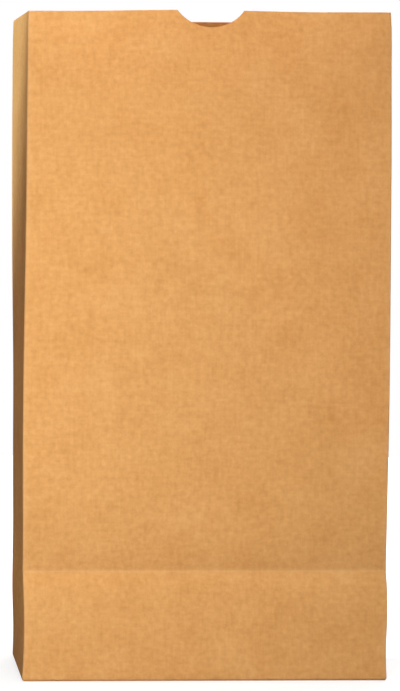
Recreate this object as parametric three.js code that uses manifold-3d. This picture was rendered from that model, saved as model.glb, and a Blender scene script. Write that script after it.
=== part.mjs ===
// A brown paper lunch bag, opened and standing on its flat base, made of one folded and glued sheet.
// Units are millimetres and +Z is up. The origin is the middle of the base, on the surface it stands on.
// X runs along the two wide panels, and Y runs from the front panel, with the thumb notch, to the back.

import * as THREE from "three";
import { LoftGeometry } from "three/addons/geometries/LoftGeometry.js";
import { mergeVertices } from "three/addons/utils/BufferGeometryUtils.js";
import Module from "manifold-3d";

// The opened bag, measured over the paper.
const bagWidth = 152.4;
const bagDepth = 92.1;
const bagHeight = 281;

// The sheet.
const paperThickness = 0.12;

// How far the creases, once folded flat, still stand in from the plane of their panel.
const frontCreaseDip = 1.0;
const sideCreaseDipAtMouth = 0.8;
const sideCreaseDipAtApex = 1.6;

// The thumb notch, a round bite out of the front panel's mouth edge.
const notchWidth = 28;
const notchDepth = 7.2;
const notchSegments = 96;

// The glued laps: of the long seam on the back panel, and of the two flaps across the base.
const seamLap = 7;
const seamFromMiddle = 10;
const baseLap = 20;

// Each part of the base is folded from a strip that crosses the middle by half of the lap.
const flapLength = (bagDepth + baseLap) / 2;

// The base is three sheets thick where its parts lie over each other.
const frontFlapLevel = paperThickness;
const sideFlapLevel = 2 * paperThickness;
const floorLevel = 3 * paperThickness;

// The base folds up flat against the front panel, so the creases meet half of the depth above it.
const creaseHeight = bagDepth / 2;

const kraftPaper = new THREE.MeshStandardMaterial({
  name: "kraft_paper",
  color: 0xd9a566,
  roughness: 0.85,
  metalness: 0,
  side: THREE.DoubleSide,
});

const wasm = await Module();
wasm.setup();

function solidFrom(geometry) {
  const points = new THREE.BufferGeometry();
  points.setAttribute("position", geometry.getAttribute("position"));
  points.setIndex(geometry.index);
  const merged = mergeVertices(points, 1e-5);
  const corners = merged.index.array;
  const triangles = [];
  for (let i = 0; i < corners.length; i += 3) {
    const [a, b, c] = [corners[i], corners[i + 1], corners[i + 2]];
    // Where two outline points share a corner, the loft leaves a face with no area.
    if (a !== b && b !== c && c !== a) triangles.push(a, b, c);
  }
  return new wasm.Manifold(
    new wasm.Mesh({
      numProp: 3,
      vertProperties: merged.attributes.position.array,
      triVerts: new Uint32Array(triangles),
    }),
  );
}

function geometryFrom(solid) {
  const mesh = solid.getMesh();
  const geometry = new THREE.BufferGeometry();
  geometry.setAttribute("position", new THREE.BufferAttribute(mesh.vertProperties, 3));
  geometry.setIndex(new THREE.BufferAttribute(mesh.triVerts, 1));
  const faceted = geometry.toNonIndexed();
  faceted.computeVertexNormals();
  return faceted;
}

function box(width, depth, height, x, y, z) {
  return solidFrom(new THREE.BoxGeometry(width, depth, height).translate(x, y, z));
}

// One level of the bag, counter-clockwise from above: the four upright edges and, between them, the
// centre crease of each side. At the base that crease has parted to the corners, so there the middle
// point of each side stands on the corner before it.
function outline(level, inset, frontDip, sideDip) {
  const x = bagWidth / 2 - inset;
  const y = bagDepth / 2 - inset;
  const onCorner = level < creaseHeight;
  const rightMiddle = new THREE.Vector3(x - sideDip, onCorner ? -y : 0, level);
  const leftMiddle = new THREE.Vector3(sideDip - x, onCorner ? y : 0, level);
  return [
    new THREE.Vector3(-x, frontDip - y, level),
    new THREE.Vector3(x, frontDip - y, level),
    rightMiddle,
    new THREE.Vector3(x, y, level),
    new THREE.Vector3(-x, y, level),
    leftMiddle,
  ];
}

// The space within the panels, moved in by the inset, from the base to past the mouth by the overrun.
function foldedBlock(inset, overrun) {
  const levels = [
    outline(sideFlapLevel, inset, 0, 0),
    outline(creaseHeight, inset, frontCreaseDip, sideCreaseDipAtApex),
    outline(bagHeight, inset, 0, sideCreaseDipAtMouth),
  ];
  if (overrun > 0) levels.push(outline(bagHeight + overrun, inset, 0, sideCreaseDipAtMouth));
  return solidFrom(new LoftGeometry(levels, { capStart: true, capEnd: true }));
}

// The panels and sides: the folded block less the same block moved in by one sheet.
function panels() {
  const pastTheMouth = 10;
  return foldedBlock(0, 0).subtract(foldedBlock(paperThickness, pastTheMouth));
}

// A wide panel's flap across the base. Its corners fold at 45 degrees, so it narrows as it goes in.
// It is drawn hinged at the front, and turned half round for the back.
function wideFlap(bottom, top, turn) {
  const hinge = -bagDepth / 2;
  const halfWidth = bagWidth / 2;
  const shape = new THREE.Shape([
    new THREE.Vector2(-halfWidth, hinge),
    new THREE.Vector2(halfWidth, hinge),
    new THREE.Vector2(halfWidth - flapLength, hinge + flapLength),
    new THREE.Vector2(flapLength - halfWidth, hinge + flapLength),
  ]);
  const geometry = new THREE.ExtrudeGeometry(shape, { depth: top - bottom, bevelEnabled: false });
  return solidFrom(geometry.rotateZ(turn).translate(0, 0, bottom));
}

// A side's flap lies inside the wide flaps, with its full width, and stops short of the middle.
function sideFlap(direction) {
  const middle = direction * (bagWidth - flapLength) / 2;
  const level = (sideFlapLevel + floorLevel) / 2;
  return box(flapLength, bagDepth, paperThickness, middle, 0, level);
}

// The long seam: the sheet's one edge glued over its other, up the whole back panel. The two sheets
// lie on either side of the panel's outer face.
function backSeam() {
  const twoSheets = 2 * paperThickness;
  return box(seamLap, twoSheets, bagHeight, seamFromMiddle, bagDepth / 2, bagHeight / 2);
}

// A cylinder along Y whose lowest line lies at the notch's depth and which meets the mouth edge at
// its width. It reaches through the front panel alone.
function notchCutter() {
  const halfWidth = notchWidth / 2;
  const radius = (halfWidth ** 2 + notchDepth ** 2) / (2 * notchDepth);
  const reach = bagDepth / 4;
  const geometry = new THREE.CylinderGeometry(radius, radius, reach, notchSegments);
  return solidFrom(geometry.translate(0, -bagDepth / 2, bagHeight - notchDepth + radius));
}

function paperBag() {
  const bag = panels()
    .add(wideFlap(frontFlapLevel, sideFlapLevel, 0))
    .add(wideFlap(0, sideFlapLevel, Math.PI))
    .add(sideFlap(1))
    .add(sideFlap(-1))
    .add(backSeam())
    .subtract(notchCutter());
  const mesh = new THREE.Mesh(geometryFrom(bag), kraftPaper);
  mesh.name = "paper_bag";
  return mesh;
}

const group = new THREE.Group();
group.name = "lunch_bag";
group.add(paperBag());

export default group;
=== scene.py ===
"""A brown paper lunch bag, opened and standing on its flat base.

The bag is one folded and glued sheet of kraft paper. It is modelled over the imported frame, and
stands on a pale floor under soft studio light, in front of a camera at the picture's viewing angle.
"""

import logging
import math
from collections.abc import Callable, Iterable
from dataclasses import dataclass, field
from enum import Enum

import bmesh
import bpy
from bmesh.types import BMesh, BMFace, BMVert
from mathutils import Matrix, Vector


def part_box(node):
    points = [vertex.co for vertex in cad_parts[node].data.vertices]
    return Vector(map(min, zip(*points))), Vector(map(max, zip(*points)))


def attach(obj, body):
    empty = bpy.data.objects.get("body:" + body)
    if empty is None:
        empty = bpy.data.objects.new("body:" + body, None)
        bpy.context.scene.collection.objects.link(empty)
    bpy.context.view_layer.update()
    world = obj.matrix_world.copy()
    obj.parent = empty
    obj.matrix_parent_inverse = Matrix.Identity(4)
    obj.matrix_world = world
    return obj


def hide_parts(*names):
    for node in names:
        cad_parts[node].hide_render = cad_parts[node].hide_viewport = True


MM = 0.001
NODE_NAME = "paper_bag"
PIECE_NAME = "lunch_bag_paper"
FOLD_WEAR = "fold_wear"

# A face looks along an axis where its normal has more than this share of it.
FACING = 0.9

# Points closer than this to a cutting plane lie on it, and points closer than this to the mouth or
# to the front panel belong to them.
CUT_TOLERANCE = 0.001 * MM
EDGE_TOLERANCE = 0.01 * MM

# The sockets of a Mix node that mixes colours. They share their names with its other sockets.
MIX_FIRST, MIX_SECOND, MIX_RESULT = 6, 7, 2

Triple = tuple[float, float, float]

log = logging.getLogger("lunch_bag")
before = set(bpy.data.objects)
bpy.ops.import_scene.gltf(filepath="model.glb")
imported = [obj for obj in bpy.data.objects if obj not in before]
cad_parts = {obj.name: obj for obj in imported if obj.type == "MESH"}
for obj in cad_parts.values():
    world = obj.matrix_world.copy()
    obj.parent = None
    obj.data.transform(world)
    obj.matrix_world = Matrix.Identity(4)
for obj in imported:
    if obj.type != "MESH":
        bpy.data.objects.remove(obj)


class Side(Enum):
    """The four upright walls of the bag, as the camera sees them."""

    FRONT = "front"
    BACK = "back"
    LEFT = "left"
    RIGHT = "right"


class PaperGrain(Enum):
    """How the fibres lie in the sheet, as squeezes of the noise pattern along X, Y and Z."""

    EVEN = (1.0, 1.0, 1.0)
    LENGTHWISE = (1.0, 1.0, 0.11)
    CROSSWISE = (0.14, 0.14, 1.0)


def smooth_step(low: float, high: float, value: float) -> float:
    """Rises from 0 at low to 1 at high, level at both ends.

    Args:
        low: the value at which the step starts.
        high: the value at which the step ends.
        value: where the step is read.

    Returns:
        A number from 0 to 1.
    """
    share = min(max((value - low) / (high - low), 0.0), 1.0)
    return share * share * (3.0 - 2.0 * share)


def spread(start: float, end: float, cells: int) -> list[float]:
    """The inner dividing places of a length that is split into equal cells.

    Args:
        start: where the length starts.
        end: where it ends.
        cells: how many cells it is split into.

    Returns:
        The places between the cells, without the two ends.
    """
    return [start + (end - start) * index / cells for index in range(1, cells)]


def rounded(away: float, edge: float) -> float:
    """A distance from a crease that starts level, so that the crease is round and not sharp.

    Args:
        away: the distance from the crease's line.
        edge: how round the crease is.

    Returns:
        The distance in metres.
    """
    return math.hypot(away, edge) - edge


def linked(name: str, data: bpy.types.ID) -> bpy.types.Object:
    """Makes an object and puts it in the scene.

    Args:
        name: the object's name.
        data: its mesh, light or camera.

    Returns:
        The object.
    """
    thing = bpy.data.objects.new(name, data)
    bpy.context.scene.collection.objects.link(thing)
    return thing


def aimed(thing: bpy.types.Object, place: Triple, target: Triple) -> bpy.types.Object:
    """Puts a light somewhere and turns it to look at a point.

    Args:
        thing: the light.
        place: where it stands.
        target: the point that it looks at.

    Returns:
        The light.
    """
    thing.location = place
    away = Vector(place) - Vector(target)
    thing.rotation_euler = away.to_track_quat("Z", "Y").to_euler()
    return thing


@dataclass(frozen=True)
class Dent:
    """A soft round or long push into a wall, in the wall's own plane.

    Across is measured along X on a wide panel and along Y on a side, and up along Z.
    A positive depth moves the paper towards the inside of the bag.
    """

    across: float
    up: float
    reach_across: float
    reach_up: float
    depth: float
    turn: float = 0.0

    def depth_at(self, across: float, up: float) -> float:
        """How far the paper is pushed in at a place on the wall.

        Args:
            across: the place along the wall.
            up: the place above the floor.

        Returns:
            The push in metres.
        """
        cosine, sine = math.cos(self.turn), math.sin(self.turn)
        aside, above = across - self.across, up - self.up
        along = (aside * cosine + above * sine) / self.reach_across
        over = (above * cosine - aside * sine) / self.reach_up
        return self.depth * math.exp(-along * along - over * over)


@dataclass(frozen=True)
class Ridge:
    """A soft crease that handling has left in a wall, as a straight line between two places.

    A positive depth makes a valley as seen from outside, and a negative one a ridge. It fades in
    and out over the two stretches, which are shares of its length.
    """

    start: tuple[float, float]
    end: tuple[float, float]
    reach: float
    depth: float
    edge: float
    fade_in: tuple[float, float] = (-0.25, 0.2)
    fade_out: tuple[float, float] = (0.8, 1.25)

    def depth_at(self, across: float, up: float) -> float:
        """How far the paper is pushed in at a place on the wall.

        Args:
            across: the place along the wall.
            up: the place above the floor.

        Returns:
            The push in metres.
        """
        line = Vector(self.end) - Vector(self.start)
        place = Vector((across, up)) - Vector(self.start)
        share = place.dot(line) / line.length_squared
        away = abs(place.x * line.y - place.y * line.x) / line.length
        fade = smooth_step(*self.fade_in, share) * (1.0 - smooth_step(*self.fade_out, share))
        return self.depth * fade * math.exp(-rounded(away, self.edge) / self.reach)


@dataclass(frozen=True)
class Fold:
    """A valley beside a crease, deepest at its line. Its reach is where a third of it is left."""

    depth: float
    reach: float

    def at(self, away: float) -> float:
        """How far the paper is pushed in at a distance from the crease."""
        return self.depth * math.exp(-away / self.reach)


@dataclass(frozen=True)
class Lobe:
    """A soft hump along one direction."""

    middle: float
    reach: float
    height: float = 1.0

    def at(self, value: float) -> float:
        """How high the hump is at a place."""
        return self.height * math.exp(-(((value - self.middle) / self.reach) ** 2))


@dataclass(frozen=True)
class FoldMarks:
    """The creases that the flat-folded bag has left, as they stand once it is open.

    The level is the part of the crease round the bag that crosses a side. Heights are measured from
    it, and shares are parts of the crease's own height.
    """

    front_edge: float = 1.0 * MM
    front_above: tuple[Fold, Fold] = (Fold(2.1 * MM, 8 * MM), Fold(2.3 * MM, 38 * MM))
    front_below: Fold = Fold(3.2 * MM, 6 * MM)
    front_foot: float = 1.2 * MM
    side_edge: float = 0.4 * MM
    level_above: Fold = Fold(1.7 * MM, 14 * MM)
    level_below: Fold = Fold(1.7 * MM, 4.5 * MM)
    level_whole_to: float = 20 * MM
    centre_reach: float = 18 * MM
    valley_depth: float = 3.2 * MM
    valley_end: float = 62 * MM
    ridge_height: float = 0.9 * MM
    ridge_start: tuple[float, float] = (40 * MM, 80 * MM)
    ridge_end: tuple[float, float] = (185 * MM, 212 * MM)
    corner_valley: Fold = Fold(3.2 * MM, 14 * MM)
    corner_fade: tuple[float, float] = (0.15, 1.05)


@dataclass(frozen=True)
class MouthLean:
    """How the walls' top edges lean in. A lean is a slope, and a reach is how far down it goes.

    The front panel leans in most where the lobes make its reach longer, and the back panel in its
    middle, where it is whole up to a distance from the middle line.
    """

    front: float = 0.36
    front_reach: float = 6 * MM
    front_lobes: tuple[Lobe, Lobe] = (
        Lobe(-52 * MM, 28 * MM, 6 * MM),
        Lobe(41 * MM, 16 * MM, 8 * MM),
    )
    others: float = 0.05
    others_reach: float = 9 * MM
    back: float = 0.3
    back_whole_to: float = 35 * MM


@dataclass(frozen=True)
class EdgeBend:
    """How one upright edge stands away from its straight line, in metres.

    Foot and top are shifts to the right at the edge's two ends. Belly, waist and heel are shifts to
    the right around three heights. Rise lifts the edge evenly, and mouth lifts only its top.
    """

    foot: float = 0.0
    top: float = 0.0
    belly: float = 0.0
    waist: float = 0.0
    heel: float = 0.0
    rise: float = 0.0
    mouth: float = 0.0

    def aside(self, up: float, share: float) -> float:
        """How far the edge is shifted to the right.

        Args:
            up: the place above the floor.
            share: the same, as a share of the bag's height.

        Returns:
            The shift in metres.
        """
        ends = self.foot * (1 - share) + self.top * share
        bends = self.belly * BELLY.at(up) + self.waist * WAIST.at(up) + self.heel * HEEL.at(up)
        return ends + bends

    def lift(self, share: float) -> float:
        """How far the edge is lifted at a share of the bag's height."""
        return self.rise * share + self.mouth * smooth_step(*MOUTH_STRETCH, share)


# The heights of the edges' belly, waist and heel, the stretch that counts as the mouth, and the
# arch of the front panel's mouth.
BELLY = Lobe(105 * MM, 80 * MM)
WAIST = Lobe(125 * MM, 40 * MM)
HEEL = Lobe(29 * MM, 16 * MM)
MOUTH_STRETCH = (0.85, 1.0)
FRONT_ARCH = Lobe(-12 * MM, 36 * MM, 0.6 * MM)

FRONT_LEFT_EDGE = EdgeBend(
    foot=-0.75 * MM, top=-0.72 * MM, belly=-0.65 * MM, rise=-1.55 * MM, mouth=0.3 * MM
)
FRONT_RIGHT_EDGE = EdgeBend(
    foot=0.6 * MM, top=0.18 * MM, belly=0.2 * MM, heel=1.1 * MM, rise=0.2 * MM, mouth=0.3 * MM
)
BACK_LEFT_EDGE = EdgeBend(
    foot=-0.3 * MM,
    top=-2.68 * MM,
    waist=0.55 * MM,
    heel=-0.8 * MM,
    rise=-1.1 * MM,
    mouth=0.9 * MM,
)
BACK_RIGHT_EDGE = EdgeBend(top=-0.72 * MM, mouth=1.1 * MM)


@dataclass(frozen=True)
class BagSizes:
    """The opened bag's sizes. Width, depth and height are those of the frame."""

    width: float
    depth: float
    height: float
    sheet: float = 0.12 * MM
    fold_radius: float = 0.8 * MM
    notch_width: float = 28.0 * MM
    notch_depth: float = 7.2 * MM
    seam_lap: float = 7.0 * MM
    seam_from_middle: float = 10.0 * MM
    base_lap: float = 20.0 * MM

    @classmethod
    def from_frame(cls, node: str) -> "BagSizes":
        """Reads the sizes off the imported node, whose box is one sheet deeper at the back.

        Args:
            node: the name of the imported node.

        Returns:
            The bag's sizes.
        """
        low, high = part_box(node)
        return cls(width=high[0] - low[0], depth=-2.0 * low[1], height=high[2])

    @property
    def half_width(self) -> float:
        """Half of the width across the wide panels."""
        return self.width / 2

    @property
    def half_depth(self) -> float:
        """Half of the depth across the sides."""
        return self.depth / 2

    @property
    def crease_height(self) -> float:
        """The base folds up against the front panel, so its crease lies half of the depth up."""
        return self.depth / 2

    @property
    def flap_length(self) -> float:
        """Each part of the base reaches past the middle by half of the lap."""
        return (self.depth + self.base_lap) / 2

    @property
    def wall_foot(self) -> float:
        """The walls end on the two wide flaps, which lie one over the other."""
        return 2 * self.sheet

    def cut_sheet(self) -> tuple[float, float]:
        """Gives the flat sheet that the bag is folded from.

        Returns:
            Its width, once round the bag with the seam's lap, and its length, from the mouth to the
            ends of the base's flaps.
        """
        around = 4 * (self.half_width + self.half_depth) + self.seam_lap
        return around, self.height + self.flap_length

    @property
    def notch_radius(self) -> float:
        """The radius of the arc that has the notch's width and depth."""
        half = self.notch_width / 2
        return (half**2 + self.notch_depth**2) / (2 * self.notch_depth)

    def notch_drop(self, across: float) -> float:
        """How far the mouth edge lies below its straight line at a place across the front panel."""
        radius = self.notch_radius
        if abs(across) >= self.notch_width / 2:
            return 0.0
        return math.sqrt(radius**2 - across**2) - (radius - self.notch_depth)


@dataclass
class HandledShape:
    """How the opened bag departs from straight panels: its creases, its bulges and its mouth.

    Every push is in metres, and positive towards the inside. The walls stay in place at the floor,
    and move by the whole push from the foot's height up.
    """

    sizes: BagSizes
    dents: dict[Side, list[Dent | Ridge]] = field(default_factory=dict)
    marks: FoldMarks = FoldMarks()
    mouth: MouthLean = MouthLean()
    foot: float = 6 * MM

    def crease_push(self, side: Side, across: float, up: float) -> float:
        """The push at the creases that the flat-folded bag has left.

        Args:
            side: the wall.
            across: the place along the wall.
            up: the place above the floor.

        Returns:
            The push in metres.
        """
        above = up - self.sizes.crease_height
        if side is Side.FRONT:
            return self.front_crease(above)
        if side is Side.BACK:
            return 0.0
        return self.gusset_crease(across, above)

    def front_crease(self, above: float) -> float:
        """The valley across the front panel, short below and long above.

        Args:
            above: the height above the crease, negative below it.

        Returns:
            The push in metres.
        """
        marks = self.marks
        away = rounded(above, marks.front_edge)
        if above > 0:
            return sum(fold.at(away) for fold in marks.front_above)
        foot = 1.0 - smooth_step(0.0, self.sizes.crease_height, away)
        return marks.front_below.at(away) + marks.front_foot * foot

    def gusset_crease(self, across: float, above: float) -> float:
        """The side's creases, which meet at its apex, on the crease round the bag.

        The centre crease is a valley that turns into a slight ridge higher up and ends below the
        mouth. Two more valleys run from the apex to the bottom corners.

        Args:
            across: the place along the side, negative towards the front.
            above: the height above the apex, negative below it.

        Returns:
            The push in metres.
        """
        marks = self.marks
        within = 1.0 - smooth_step(marks.level_whole_to, self.sizes.half_depth, abs(across))
        fold = marks.level_above if above > 0 else marks.level_below
        level = within * fold.at(rounded(above, marks.side_edge))
        if above >= 0:
            valley = marks.valley_depth * (1.0 - smooth_step(0.0, marks.valley_end, above))
            below_mouth = 1.0 - smooth_step(*marks.ridge_end, above)
            ridge = marks.ridge_height * smooth_step(*marks.ridge_start, above) * below_mouth
            centre = Fold(valley - ridge, marks.centre_reach)
            return level + centre.at(rounded(across, marks.side_edge))
        away = abs(abs(across) + above) / math.sqrt(2)
        strength = 1.0 - smooth_step(*marks.corner_fade, -above / self.sizes.crease_height)
        return level + strength * marks.corner_valley.at(rounded(away, marks.side_edge))

    def mouth_push(self, side: Side, across: float, up: float) -> float:
        """The lean of the wall's top edge towards the inside.

        Args:
            side: the wall.
            across: the place along the wall.
            up: the place above the floor.

        Returns:
            The push in metres.
        """
        mouth = self.mouth
        lean, reach = mouth.others, mouth.others_reach
        if side is Side.FRONT:
            lean = mouth.front
            reach = mouth.front_reach + sum(lobe.at(across) for lobe in mouth.front_lobes)
        if side is Side.BACK:
            half_width = self.sizes.half_width
            lean += mouth.back * (1.0 - smooth_step(mouth.back_whole_to, half_width, abs(across)))
        below = self.sizes.height - up
        return lean * reach * math.exp(-below / reach)

    def push(self, side: Side, across: float, up: float) -> float:
        """The whole push of a wall at a place.

        Args:
            side: the wall.
            across: the place along the wall.
            up: the place above the floor.

        Returns:
            The push in metres.
        """
        own = sum(dent.depth_at(across, up) for dent in self.dents.get(side, []))
        return own + self.crease_push(side, across, up) + self.mouth_push(side, across, up)

    def edge_shift(self, place: Vector) -> Vector:
        """The shift of the four upright edges, blended over the walls between them.

        Args:
            place: the place on the straight bag.

        Returns:
            The shift in metres.
        """
        right = place.x / self.sizes.width + 0.5
        back = place.y / self.sizes.depth + 0.5
        share = place.z / self.sizes.height
        edges = (
            (FRONT_LEFT_EDGE, (1 - right) * (1 - back)),
            (FRONT_RIGHT_EDGE, right * (1 - back)),
            (BACK_LEFT_EDGE, (1 - right) * back),
            (BACK_RIGHT_EDGE, right * back),
        )
        aside = sum(part * edge.aside(place.z, share) for edge, part in edges)
        rise = sum(part * edge.lift(share) for edge, part in edges)
        arch = smooth_step(*MOUTH_STRETCH, share) * FRONT_ARCH.at(place.x)
        return Vector((aside, 0.0, rise + arch * (1 - back)))

    def moved(self, place: Vector) -> Vector:
        """Where a point of the straight bag lies on the handled one.

        Args:
            place: the place on the straight bag.

        Returns:
            The place on the handled bag.
        """
        sizes = self.sizes
        right = min(max(place.x / sizes.width + 0.5, 0.0), 1.0)
        back = min(max(place.y / sizes.depth + 0.5, 0.0), 1.0)
        across_x = (right - 0.5) * sizes.width
        across_y = (back - 0.5) * sizes.depth
        front = self.push(Side.FRONT, across_x, place.z)
        rear = -self.push(Side.BACK, across_x, place.z)
        left = self.push(Side.LEFT, across_y, place.z)
        far = -self.push(Side.RIGHT, across_y, place.z)
        inward_y = (1 - back) * front + back * rear
        inward_x = (1 - right) * left + right * far
        free = smooth_step(0.0, self.foot, place.z)
        return place + Vector((inward_x * free, inward_y * free, 0.0)) + self.edge_shift(place)


@dataclass(frozen=True)
class Speckle:
    """A noise pattern: its scale per metre, its number of finer octaves and how its fibres lie."""

    scale: float
    detail: float
    grain: PaperGrain = PaperGrain.EVEN


@dataclass(frozen=True)
class KraftFinish:
    """Unbleached kraft paper: mottled pulp, fibres along and across the sheet, and worn folds.

    The shares say how much each pattern adds to the colour and to the bump, in the order cloud,
    mottle, lengthwise and crosswise. The bump has no cloud. The ends are the values of a pattern
    that count as dark and as pale.
    """

    name: str = "kraft_paper_finish"
    colour: Triple = (0.715, 0.375, 0.126)
    dark_pulp: Triple = (0.60, 0.295, 0.088)
    pale_pulp: Triple = (0.80, 0.455, 0.175)
    bare_fold: Triple = (0.84, 0.53, 0.25)
    wear: float = 0.3
    roughness: float = 0.75
    roughness_change: float = 0.08
    gloss: float = 0.01
    see_through: float = 0.2
    light_through: Triple = (0.76, 0.31, 0.06)
    cloud: Speckle = Speckle(60.0, 3.0)
    mottle: Speckle = Speckle(430.0, 5.0)
    lengthwise: Speckle = Speckle(900.0, 3.0, PaperGrain.LENGTHWISE)
    crosswise: Speckle = Speckle(800.0, 3.0, PaperGrain.CROSSWISE)
    noise_roughness: float = 0.6
    colour_shares: tuple[float, ...] = (0.26, 0.44, 0.16, 0.14)
    bump_shares: tuple[float, ...] = (0.6, 0.22, 0.18)
    bump_strength: float = 0.35
    bump_depth: float = 0.16 * MM
    colour_ends: tuple[float, float] = (0.33, 0.67)
    roughness_ends: tuple[float, float] = (0.3, 0.7)

    def material(self) -> bpy.types.Material:
        """Builds the node material.

        Returns:
            The material.
        """
        material = bpy.data.materials.new(self.name)
        material.use_nodes = True
        tree = material.node_tree
        tree.nodes.clear()
        place = tree.nodes.new("ShaderNodeTexCoord").outputs["Object"]
        speckles = (self.cloud, self.mottle, self.lengthwise, self.crosswise)
        patterns = [self.pattern(tree, place, speckle) for speckle in speckles]
        blend = self.mixed_share(tree, zip(patterns, self.colour_shares))
        worn = self.worn_colour(tree, self.pulp_colour(tree, blend))
        height = self.mixed_share(tree, zip(patterns[1:], self.bump_shares))
        bump = tree.nodes.new("ShaderNodeBump")
        bump.inputs["Strength"].default_value = self.bump_strength
        bump.inputs["Distance"].default_value = self.bump_depth
        tree.links.new(height, bump.inputs["Height"])
        rough = self.changing_roughness(tree, patterns[1])
        self.surface(tree, worn, rough, bump.outputs["Normal"])
        return material

    def pattern(
        self, tree: bpy.types.NodeTree, place: bpy.types.NodeSocket, speckle: Speckle
    ) -> bpy.types.NodeSocket:
        """Adds a noise pattern, stretched along one axis for fibres.

        Args:
            tree: the material's node tree.
            place: the coordinates that the pattern reads.
            speckle: what the pattern is like.

        Returns:
            The socket with the pattern, from 0 to 1.
        """
        mapping = tree.nodes.new("ShaderNodeMapping")
        mapping.inputs["Scale"].default_value = speckle.grain.value
        tree.links.new(place, mapping.inputs["Vector"])
        noise = tree.nodes.new("ShaderNodeTexNoise")
        noise.inputs["Scale"].default_value = speckle.scale
        noise.inputs["Detail"].default_value = speckle.detail
        noise.inputs["Roughness"].default_value = self.noise_roughness
        tree.links.new(mapping.outputs["Vector"], noise.inputs["Vector"])
        return noise.outputs["Fac"]

    def mixed_share(
        self, tree: bpy.types.NodeTree, parts: Iterable[tuple[bpy.types.NodeSocket, float]]
    ) -> bpy.types.NodeSocket:
        """Adds patterns up by their shares.

        Args:
            tree: the material's node tree.
            parts: each pattern with its share.

        Returns:
            The socket with the sum.
        """
        total = None
        for pattern, share in parts:
            step = tree.nodes.new("ShaderNodeMath")
            step.operation = "MULTIPLY_ADD"
            step.inputs[1].default_value = share
            step.inputs[2].default_value = 0.0
            tree.links.new(pattern, step.inputs[0])
            if total is not None:
                tree.links.new(total, step.inputs[2])
            total = step.outputs["Value"]
        return total

    def changing_roughness(
        self, tree: bpy.types.NodeTree, pattern: bpy.types.NodeSocket
    ) -> bpy.types.NodeSocket:
        """Makes the paper rougher where a pattern is pale, and smoother where it is dark.

        Args:
            tree: the material's node tree.
            pattern: the pattern.

        Returns:
            The socket with the roughness.
        """
        node = tree.nodes.new("ShaderNodeMapRange")
        node.inputs["From Min"].default_value = self.roughness_ends[0]
        node.inputs["From Max"].default_value = self.roughness_ends[1]
        node.inputs["To Min"].default_value = self.roughness - self.roughness_change
        node.inputs["To Max"].default_value = self.roughness + self.roughness_change
        tree.links.new(pattern, node.inputs["Value"])
        return node.outputs["Result"]

    def pulp_colour(
        self, tree: bpy.types.NodeTree, blend: bpy.types.NodeSocket
    ) -> bpy.types.NodeSocket:
        """Turns the summed pattern into the pulp's colour.

        Args:
            tree: the material's node tree.
            blend: the summed pattern.

        Returns:
            The socket with the colour.
        """
        ramp = tree.nodes.new("ShaderNodeValToRGB")
        dark, pale = ramp.color_ramp.elements
        dark.position, pale.position = self.colour_ends
        dark.color = (*self.dark_pulp, 1.0)
        pale.color = (*self.pale_pulp, 1.0)
        middle = ramp.color_ramp.elements.new(sum(self.colour_ends) / 2)
        middle.color = (*self.colour, 1.0)
        tree.links.new(blend, ramp.inputs["Fac"])
        return ramp.outputs["Color"]

    def worn_colour(
        self, tree: bpy.types.NodeTree, pulp: bpy.types.NodeSocket
    ) -> bpy.types.NodeSocket:
        """Lets the crushed fibre at folds show through.

        Args:
            tree: the material's node tree.
            pulp: the pulp's colour.

        Returns:
            The socket with the colour.
        """
        wear = tree.nodes.new("ShaderNodeAttribute")
        wear.attribute_name = FOLD_WEAR
        share = tree.nodes.new("ShaderNodeMath")
        share.operation = "MULTIPLY"
        share.inputs[1].default_value = self.wear
        tree.links.new(wear.outputs["Fac"], share.inputs[0])
        mix = tree.nodes.new("ShaderNodeMix")
        mix.data_type = "RGBA"
        tree.links.new(share.outputs["Value"], mix.inputs["Factor"])
        tree.links.new(pulp, mix.inputs[MIX_FIRST])
        mix.inputs[MIX_SECOND].default_value = (*self.bare_fold, 1.0)
        return mix.outputs[MIX_RESULT]

    def surface(
        self,
        tree: bpy.types.NodeTree,
        colour: bpy.types.NodeSocket,
        roughness: bpy.types.NodeSocket,
        normal: bpy.types.NodeSocket,
    ) -> None:
        """Joins the colour, roughness and bump in a shader that lets a little light through.

        Args:
            tree: the material's node tree.
            colour: the paper's colour.
            roughness: the paper's roughness.
            normal: the bumped normal.
        """
        paper = tree.nodes.new("ShaderNodeBsdfPrincipled")
        paper.inputs["Specular IOR Level"].default_value = self.gloss
        tree.links.new(colour, paper.inputs["Base Color"])
        tree.links.new(roughness, paper.inputs["Roughness"])
        tree.links.new(normal, paper.inputs["Normal"])
        through = tree.nodes.new("ShaderNodeBsdfTranslucent")
        through.inputs["Color"].default_value = (*self.light_through, 1.0)
        tree.links.new(normal, through.inputs["Normal"])
        both = tree.nodes.new("ShaderNodeMixShader")
        both.inputs["Fac"].default_value = self.see_through
        tree.links.new(paper.outputs["BSDF"], both.inputs[1])
        tree.links.new(through.outputs["BSDF"], both.inputs[2])
        output = tree.nodes.new("ShaderNodeOutputMaterial")
        tree.links.new(both.outputs["Shader"], output.inputs["Surface"])


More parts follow.
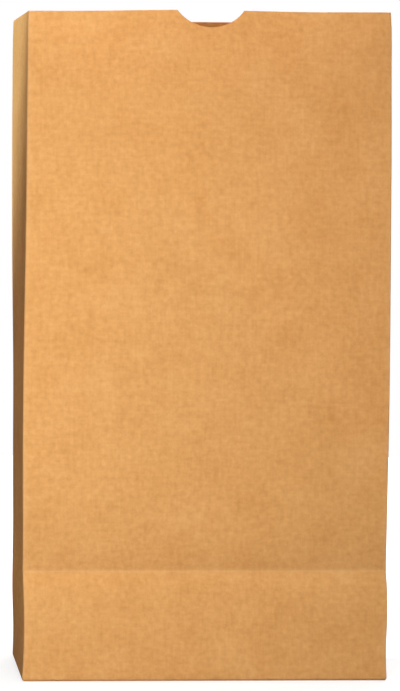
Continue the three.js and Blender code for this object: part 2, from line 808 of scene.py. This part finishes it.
@dataclass(frozen=True)
class FoldWear:
    """How crushed the fibres are at the folds, from 0 to 1.

    The creases are worn in a narrow band, and the upright folds between two distances. A point
    belongs to a wall where it is closer to it than the tolerance.
    """

    front: float = 1.0
    sides: float = 0.8
    upright: float = 0.7
    crease_band: float = 0.7 * MM
    upright_band: tuple[float, float] = (0.4 * MM, 1.6 * MM)
    wall_tolerance: float = 0.1 * MM

    def near(self, away: float) -> float:
        """How worn the paper is at a distance from a crease."""
        return 1.0 - smooth_step(0.0, self.crease_band, abs(away))

    def at(self, place: Vector, sizes: BagSizes) -> float:
        """How worn the paper is at a place on the straight bag.

        Args:
            place: the place.
            sizes: the bag's sizes.

        Returns:
            The wear.
        """
        side_x = sizes.half_width - abs(place.x)
        side_y = sizes.half_depth - abs(place.y)
        above = place.z - sizes.crease_height
        wear = [self.upright * (1.0 - smooth_step(*self.upright_band, side_x + side_y))]
        if side_y < self.wall_tolerance and place.y < 0:
            wear.append(self.front * self.near(above))
        if side_x < self.wall_tolerance:
            corner = (abs(place.y) + above) / math.sqrt(2)
            wear.append(self.sides * self.near(place.y if above > 0 else corner))
        return max(wear)


@dataclass
class PaperBag:
    """The folded and glued sheet: walls, base flaps and back seam, as one piece.

    The steps are extra rows of points beside a crease or below the mouth. The tuck is how far the
    wide flaps start inside the rounded fold, and the notch reach is how far below the mouth the
    points make room for the notch.
    """

    sizes: BagSizes
    shape: HandledShape
    finish: KraftFinish
    cell: float = 2.42 * MM
    columns_in_notch: int = 22
    fold_segments: int = 3
    crease_steps: tuple[float, ...] = (-1.2 * MM, -0.4 * MM, 0.4 * MM, 1.2 * MM)
    mouth_steps: tuple[float, ...] = (0.8 * MM, 1.6 * MM)
    corner_steps: tuple[float, ...] = (-0.5 * MM, 0.0, 0.5 * MM)
    tuck: float = 0.35 * MM
    notch_reach: float = 30 * MM
    sharp_angle: float = math.radians(40)
    wear: FoldWear = FoldWear()

    def build(self) -> bpy.types.Object:
        """Builds the bag, dresses it and binds it to the frame.

        Returns:
            The finished object.
        """
        mesh = bmesh.new()
        self.start_block(mesh)
        self.divide_walls(mesh)
        self.divide_gussets(mesh)
        self.open_base(mesh)
        self.add_back_seam(mesh)
        self.add_wide_flaps(mesh)
        self.mark_wear(mesh)
        self.bite_notch(mesh)
        for vertex in mesh.verts:
            vertex.co = self.shape.moved(vertex.co)
        self.thicken(mesh)
        piece = self.finished_object(mesh)
        mesh.free()
        return piece

    def start_block(self, mesh: BMesh) -> None:
        """Starts from a block with rounded upright and bottom folds, open at the mouth.

        Args:
            mesh: the mesh that the block is made in.
        """
        sizes = self.sizes
        tall = sizes.height - sizes.wall_foot
        middle = Vector((0.0, 0.0, sizes.wall_foot + tall / 2))
        scale = Matrix.Diagonal((sizes.width, sizes.depth, tall, 1.0))
        bmesh.ops.create_cube(mesh, size=1.0, matrix=Matrix.Translation(middle) @ scale)
        top = [face for face in mesh.faces if face.normal.z > FACING]
        bmesh.ops.delete(mesh, geom=top, context="FACES_ONLY")
        rim = sizes.height - EDGE_TOLERANCE
        folds = [edge for edge in mesh.edges if min(vertex.co.z for vertex in edge.verts) < rim]
        bmesh.ops.bevel(
            mesh,
            geom=folds,
            offset=sizes.fold_radius,
            offset_type="OFFSET",
            segments=self.fold_segments,
            profile=0.5,
            affect="EDGES",
            material=-1,
        )

    def slice(
        self,
        mesh: BMesh,
        place: Vector,
        across: Vector,
        chosen: Callable[[BMFace], bool] | None = None,
    ) -> None:
        """Cuts new edges where a plane crosses the mesh, or only its chosen faces.

        Args:
            mesh: the mesh to cut.
            place: a point on the plane.
            across: the plane's normal.
            chosen: says for each face if it is cut, or None where all are.
        """
        if chosen is None:
            pieces = mesh.verts[:] + mesh.edges[:] + mesh.faces[:]
        else:
            faces = [face for face in mesh.faces if chosen(face)]
            edges = dict.fromkeys(edge for face in faces for edge in face.edges)
            points = dict.fromkeys(point for face in faces for point in face.verts)
            pieces = [*points, *edges, *faces]
        bmesh.ops.bisect_plane(
            mesh, geom=pieces, dist=CUT_TOLERANCE, plane_co=place, plane_no=across
        )

    def divide_walls(self, mesh: BMesh) -> None:
        """Divides the block along X, Y and Z, with narrow rows beside the creases.

        Args:
            mesh: the mesh to divide.
        """
        sizes = self.sizes
        deep_cells = 2 * round(sizes.half_depth / self.cell)
        low_cells = deep_cells // 2
        high_cells = round((sizes.height - sizes.crease_height) / self.cell)
        half_notch = sizes.notch_width / 2
        beside = round((sizes.half_width - half_notch) / self.cell)
        wing = spread(half_notch, sizes.half_width, beside)
        bite = math.asin(half_notch / sizes.notch_radius)
        turns = spread(-bite, bite, self.columns_in_notch)
        columns = [sizes.notch_radius * math.sin(turn) for turn in turns]
        columns += [-half_notch, half_notch] + wing + [-place for place in wing]
        rows = spread(0.0, sizes.crease_height, low_cells) + [sizes.crease_height]
        rows += spread(sizes.crease_height, sizes.height, high_cells)
        rows += [sizes.crease_height + step for step in self.crease_steps]
        rows += [sizes.height - step for step in self.mouth_steps]
        lanes = spread(-sizes.half_depth, sizes.half_depth, deep_cells) + list(self.crease_steps)
        for axis, places in zip(Matrix.Identity(3), (columns, lanes, rows)):
            for place in sorted(places):
                self.slice(mesh, axis * place, axis)

    def divide_gussets(self, mesh: BMesh) -> None:
        """Cuts the creases that run from each side's apex to its bottom corners.

        Args:
            mesh: the mesh to divide.
        """
        sizes = self.sizes
        for hand in (-1.0, 1.0):
            across = Vector((0.0, hand, 1.0)).normalized()
            for step in self.corner_steps:
                place = Vector((0.0, 0.0, sizes.crease_height)) + across * step

                def chosen(face: BMFace, hand: float = hand) -> bool:
                    """Says if a face is on this half of a side, below its apex."""
                    middle = face.calc_center_median()
                    low = middle.z < sizes.crease_height + self.cell
                    return abs(face.normal.x) > FACING and low and middle.y * hand > -self.cell

                self.slice(mesh, place, across, chosen)

    def open_base(self, mesh: BMesh) -> None:
        """Leaves only the two side flaps of the floor, which stop short of the middle.

        Args:
            mesh: the mesh that the floor is cut in.
        """
        reach = self.sizes.half_width - self.sizes.flap_length

        def is_floor(face: BMFace) -> bool:
            """Says if a face belongs to the floor."""
            return face.normal.z < -FACING

        for hand in (-1.0, 1.0):
            self.slice(mesh, Vector((hand * reach, 0.0, 0.0)), Vector((1.0, 0.0, 0.0)), is_floor)
        middle = [
            face
            for face in mesh.faces
            if is_floor(face) and abs(face.calc_center_median().x) < reach
        ]
        bmesh.ops.delete(mesh, geom=middle, context="FACES")

    def add_back_seam(self, mesh: BMesh) -> None:
        """Lays the sheet's outer edge over its inner one, up the back panel.

        Args:
            mesh: the mesh that the lap is added to.
        """
        sizes = self.sizes
        start = sizes.seam_from_middle - sizes.seam_lap / 2
        end = sizes.seam_from_middle + sizes.seam_lap / 2

        def is_back(face: BMFace) -> bool:
            """Says if a face belongs to the back panel."""
            return face.normal.y > FACING

        for place in (start, end):
            self.slice(mesh, Vector((place, 0.0, 0.0)), Vector((1.0, 0.0, 0.0)), is_back)
        lap = [
            face
            for face in mesh.faces
            if is_back(face) and start < face.calc_center_median().x < end
        ]
        copy = bmesh.ops.duplicate(mesh, geom=lap)["geom"]
        points = [item for item in copy if isinstance(item, BMVert)]
        bmesh.ops.translate(mesh, verts=points, vec=Vector((0.0, sizes.sheet, 0.0)))

    def add_wide_flaps(self, mesh: BMesh) -> None:
        """Folds the wide panels' flaps across the base, with their corners at 45 degrees.

        Args:
            mesh: the mesh that the flaps are added to.
        """
        sizes = self.sizes
        hinge = sizes.half_depth - self.tuck
        wide = sizes.half_width - self.tuck
        narrow = sizes.half_width - sizes.flap_length
        reach = sizes.flap_length - sizes.half_depth
        for hand, level in ((-1.0, sizes.sheet), (1.0, 0.0)):
            outline = [(-wide, hinge), (wide, hinge), (narrow, -reach), (-narrow, -reach)]
            corners = [Vector((hand * x, hand * y, level)) for x, y in outline]
            flap = mesh.faces.new([mesh.verts.new(corner) for corner in corners])
            flap.normal_update()
            if flap.normal.z > 0:
                flap.normal_flip()

    def mark_wear(self, mesh: BMesh) -> None:
        """Writes on each point how close it lies to a fold, for the paper's finish.

        Args:
            mesh: the mesh to mark.
        """
        layer = mesh.verts.layers.float.new(FOLD_WEAR)
        for vertex in mesh.verts:
            vertex[layer] = self.wear.at(vertex.co, self.sizes)

    def bite_notch(self, mesh: BMesh) -> None:
        """Draws the front panel's mouth edge down along the arc of the thumb notch.

        Args:
            mesh: the mesh to shape.
        """
        sizes = self.sizes
        for vertex in mesh.verts:
            if vertex.co.y > -sizes.half_depth + EDGE_TOLERANCE:
                continue
            share = 1.0 - (sizes.height - vertex.co.z) / self.notch_reach
            if share > 0:
                vertex.co.z -= sizes.notch_drop(vertex.co.x) * share

    def thicken(self, mesh: BMesh) -> None:
        """Gives the sheet its thickness, and keeps its cut edges crisp.

        Args:
            mesh: the mesh to thicken.
        """
        bmesh.ops.solidify(mesh, geom=mesh.faces[:], thickness=self.sizes.sheet)
        for face in mesh.faces:
            face.smooth = True
        for edge in mesh.edges:
            if len(edge.link_faces) == 2 and edge.calc_face_angle(0.0) > self.sharp_angle:
                edge.smooth = False

    def finished_object(self, mesh: BMesh) -> bpy.types.Object:
        """Turns the mesh into an object, dresses it and binds it to the frame.

        Args:
            mesh: the finished mesh.

        Returns:
            The object.
        """
        data = bpy.data.meshes.new(PIECE_NAME)
        mesh.to_mesh(data)
        piece = linked(PIECE_NAME, data)
        data.materials.append(self.finish.material())
        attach(piece, "root")
        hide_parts(NODE_NAME)
        self.sizes.cut_sheet()
        return piece


@dataclass(frozen=True)
class SoftBox:
    """A rectangular studio light that looks at a point."""

    name: str
    place: Triple
    target: Triple
    width: float
    height: float
    power: float
    spread: float = math.pi

    def build(self) -> bpy.types.Object:
        """Builds the light.

        Returns:
            The light object.
        """
        data = bpy.data.lights.new(self.name, "AREA")
        data.shape = "RECTANGLE"
        data.size = self.width
        data.size_y = self.height
        data.energy = self.power
        data.spread = self.spread
        return aimed(linked(self.name, data), self.place, self.target)


@dataclass(frozen=True)
class EdgeSpot:
    """A round lamp whose light ends in an edge. The angle is half of its cone's, in degrees."""

    name: str
    place: Triple
    target: Triple
    power: float
    half_angle: float
    blend: float
    radius: float
    colour: Triple

    def build(self) -> bpy.types.Object:
        """Builds the light.

        Returns:
            The light object.
        """
        data = bpy.data.lights.new(self.name, "SPOT")
        data.energy = self.power
        data.color = self.colour
        data.spot_size = math.radians(2 * self.half_angle)
        data.spot_blend = self.blend
        data.shadow_soft_size = self.radius
        return aimed(linked(self.name, data), self.place, self.target)


@dataclass(frozen=True)
class StudioFloor:
    """A plain pale floor that keeps the bag's shadow, and turns to the white backdrop further away.

    The camera sees it a little less bright within the inner distance, where the shadow lies, and
    white from the outer one on. It lies a hair below the bag, whose lowest sheet is at its level.
    """

    name: str = "studio_floor"
    half_size: float = 1.5
    squares: int = 8
    colour: Triple = (0.4, 0.4, 0.4)
    shadow_share: float = 0.3
    shadow_inner: float = 0.1
    shadow_outer: float = 0.32
    drop: float = 0.2 * MM

    def build(self) -> bpy.types.Object:
        """Builds the floor.

        Returns:
            The floor object.
        """
        mesh = bmesh.new()
        low = Matrix.Translation((0.0, 0.0, -self.drop))
        bmesh.ops.create_grid(
            mesh,
            x_segments=self.squares,
            y_segments=self.squares,
            size=self.half_size,
            matrix=low,
        )
        data = bpy.data.meshes.new(self.name)
        mesh.to_mesh(data)
        mesh.free()
        floor = linked(self.name, data)
        data.materials.append(self.material())
        return floor

    def material(self) -> bpy.types.Material:
        """Builds the floor's material.

        Returns:
            The material.
        """
        material = bpy.data.materials.new(f"{self.name}_finish")
        material.use_nodes = True
        tree = material.node_tree
        tree.nodes.clear()
        place = tree.nodes.new("ShaderNodeTexCoord").outputs["Object"]
        away = tree.nodes.new("ShaderNodeVectorMath")
        away.operation = "LENGTH"
        tree.links.new(place, away.inputs[0])
        near = tree.nodes.new("ShaderNodeMapRange")
        near.interpolation_type = "SMOOTHSTEP"
        near.inputs["From Min"].default_value = self.shadow_inner
        near.inputs["From Max"].default_value = self.shadow_outer
        near.inputs["To Min"].default_value = 1.0 - self.shadow_share
        near.inputs["To Max"].default_value = 1.0
        tree.links.new(away.outputs["Value"], near.inputs["Value"])
        glow = tree.nodes.new("ShaderNodeEmission")
        tree.links.new(near.outputs["Result"], glow.inputs["Strength"])
        lit = tree.nodes.new("ShaderNodeBsdfDiffuse")
        lit.inputs["Color"].default_value = (*self.colour, 1.0)
        seen = tree.nodes.new("ShaderNodeAddShader")
        tree.links.new(glow.outputs["Emission"], seen.inputs[0])
        tree.links.new(lit.outputs["BSDF"], seen.inputs[1])
        mix = tree.nodes.new("ShaderNodeMixShader")
        tree.links.new(backdrop_ray(tree), mix.inputs["Fac"])
        tree.links.new(lit.outputs["BSDF"], mix.inputs[1])
        tree.links.new(seen.outputs["Shader"], mix.inputs[2])
        output = tree.nodes.new("ShaderNodeOutputMaterial")
        tree.links.new(mix.outputs["Shader"], output.inputs["Surface"])
        return material


def backdrop_ray(tree: bpy.types.NodeTree) -> bpy.types.NodeSocket:
    """Adds nodes that are 1 for camera, glossy and transmission rays, and 0 for all others.

    Args:
        tree: the node tree that they are added to.

    Returns:
        The socket with the value.
    """
    path = tree.nodes.new("ShaderNodeLightPath")
    total = path.outputs["Is Camera Ray"]
    for name in ("Is Glossy Ray", "Is Transmission Ray"):
        larger = tree.nodes.new("ShaderNodeMath")
        larger.operation = "MAXIMUM"
        tree.links.new(total, larger.inputs[0])
        tree.links.new(path.outputs[name], larger.inputs[1])
        total = larger.outputs["Value"]
    return total


@dataclass(frozen=True)
class WhiteBackdrop:
    """The world: white where the camera or a reflection sees it, dim where it lights the bag."""

    fill: float = 0.08
    white: float = 1.0

    def build(self) -> bpy.types.World:
        """Builds the world and sets it.

        Returns:
            The world.
        """
        world = bpy.data.worlds.new("white_backdrop")
        world.use_nodes = True
        tree = world.node_tree
        tree.nodes.clear()
        mix = tree.nodes.new("ShaderNodeMixShader")
        tree.links.new(backdrop_ray(tree), mix.inputs["Fac"])
        for slot, strength in ((1, self.fill), (2, self.white)):
            side = tree.nodes.new("ShaderNodeBackground")
            side.inputs["Strength"].default_value = strength
            side.inputs["Color"].default_value = (1.0, 1.0, 1.0, 1.0)
            tree.links.new(side.outputs["Background"], mix.inputs[slot])
        output = tree.nodes.new("ShaderNodeOutputWorld")
        tree.links.new(mix.outputs["Shader"], output.inputs["Surface"])
        bpy.context.scene.world = world
        return world


@dataclass(frozen=True)
class PictureCamera:
    """The camera at the picture's viewing angle."""

    azimuth: float = -5.848
    elevation: float = 1.686
    roll: float = 0.563
    distance: float = 1.5289
    target: Triple = (0.000975, 0.0, 0.139575)
    lens: float = 184.54
    sensor: float = 36.0

    def build(self) -> bpy.types.Object:
        """Builds the camera and makes it the scene's.

        Returns:
            The camera object.
        """
        data = bpy.data.cameras.new("picture_camera")
        data.lens = self.lens
        data.sensor_width = self.sensor
        data.sensor_fit = "AUTO"
        camera = linked("picture_camera", data)
        turn, tilt = math.radians(self.azimuth), math.radians(self.elevation)
        back = Vector(
            (math.sin(turn) * math.cos(tilt), -math.cos(turn) * math.cos(tilt), math.sin(tilt))
        )
        camera.location = Vector(self.target) + back * self.distance
        level = back.to_track_quat("Z", "Y").to_matrix()
        rolled = level @ Matrix.Rotation(math.radians(self.roll), 3, "Z")
        camera.rotation_euler = rolled.to_euler()
        bpy.context.scene.camera = camera
        return camera


def handled_dents() -> dict[Side, list[Dent | Ridge]]:
    """The bulges and soft creases of each wall. The front panel's are those of the picture.

    Returns:
        The dents of each side.
    """
    return {
        Side.FRONT: [
            Dent(-14 * MM, 150 * MM, 58 * MM, 95 * MM, -2.0 * MM),
            Dent(76 * MM, 255 * MM, 22 * MM, 26 * MM, 1.6 * MM),
            Dent(74 * MM, 80 * MM, 24 * MM, 45 * MM, 1.0 * MM),
            Dent(68 * MM, 20 * MM, 16 * MM, 22 * MM, 0.8 * MM),
            Dent(-40 * MM, 215 * MM, 34 * MM, 16 * MM, 0.5 * MM, 0.35),
            Ridge((19 * MM, 105 * MM), (20 * MM, 172 * MM), 9 * MM, -0.5 * MM, 3 * MM),
        ],
        Side.BACK: [
            Dent(6 * MM, 160 * MM, 60 * MM, 90 * MM, -1.2 * MM),
        ],
        Side.LEFT: [
            Dent(20 * MM, 150 * MM, 24 * MM, 90 * MM, -0.7 * MM),
            Dent(-14 * MM, 195 * MM, 26 * MM, 40 * MM, 0.5 * MM),
        ],
        Side.RIGHT: [
            Dent(4 * MM, 120 * MM, 34 * MM, 80 * MM, -0.6 * MM),
        ],
    }


def set_view() -> None:
    """Sets the plain colour transform."""
    bpy.context.scene.view_settings.view_transform = "Standard"


def build_lights() -> None:
    """Builds the soft studio lights, and the lamp behind the bag that lights its left side."""
    middle = (0.0, 0.0, 0.14)
    lights = [
        SoftBox(
            "front_box",
            (-0.20, -1.5, 0.08),
            (-0.24, -0.05, 0.13),
            width=0.5,
            height=0.3,
            power=1.54,
            spread=math.radians(40),
        ),
        SoftBox(
            "high_box",
            (-0.15, -0.8, 1.25),
            (-0.14, -0.05, 0.06),
            width=0.5,
            height=0.4,
            power=1.0,
            spread=math.radians(50),
        ),
        SoftBox("left_box", (-0.5, -1.2, 0.9), middle, width=0.5, height=0.4, power=1.0),
        SoftBox("top_box", (0.05, 0.0, 1.10), middle, width=0.5, height=0.4, power=2.5),
        EdgeSpot(
            "rear_spot",
            (-0.924, 0.532, 1.40),
            (-0.076, 0.255, 0.625),
            power=180.0,
            half_angle=13.6,
            blend=0.1,
            radius=0.02,
            colour=(0.75, 0.91, 1.0),
        ),
        SoftBox(
            "rear_box", (0.45, 1.5, 0.68), (0.0, 0.0, 0.2), width=0.9, height=0.5, power=21.0
        ),
    ]
    for light in lights:
        light.build()
        log.info("light %s: %.1f W", light.name, light.power)


def main() -> None:
    """Builds the bag, the floor, the light and the camera."""
    logging.basicConfig(level=logging.INFO, format="%(name)s: %(message)s")
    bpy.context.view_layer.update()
    set_view()
    PictureCamera().build()
    sizes = BagSizes.from_frame(NODE_NAME)
    shape = HandledShape(sizes, handled_dents())
    bag = PaperBag(sizes, shape, KraftFinish()).build()
    log.info("%s: %d faces", bag.name, len(bag.data.polygons))
    StudioFloor().build()
    WhiteBackdrop().build()
    build_lights()


if __name__ == "__main__":
    main()
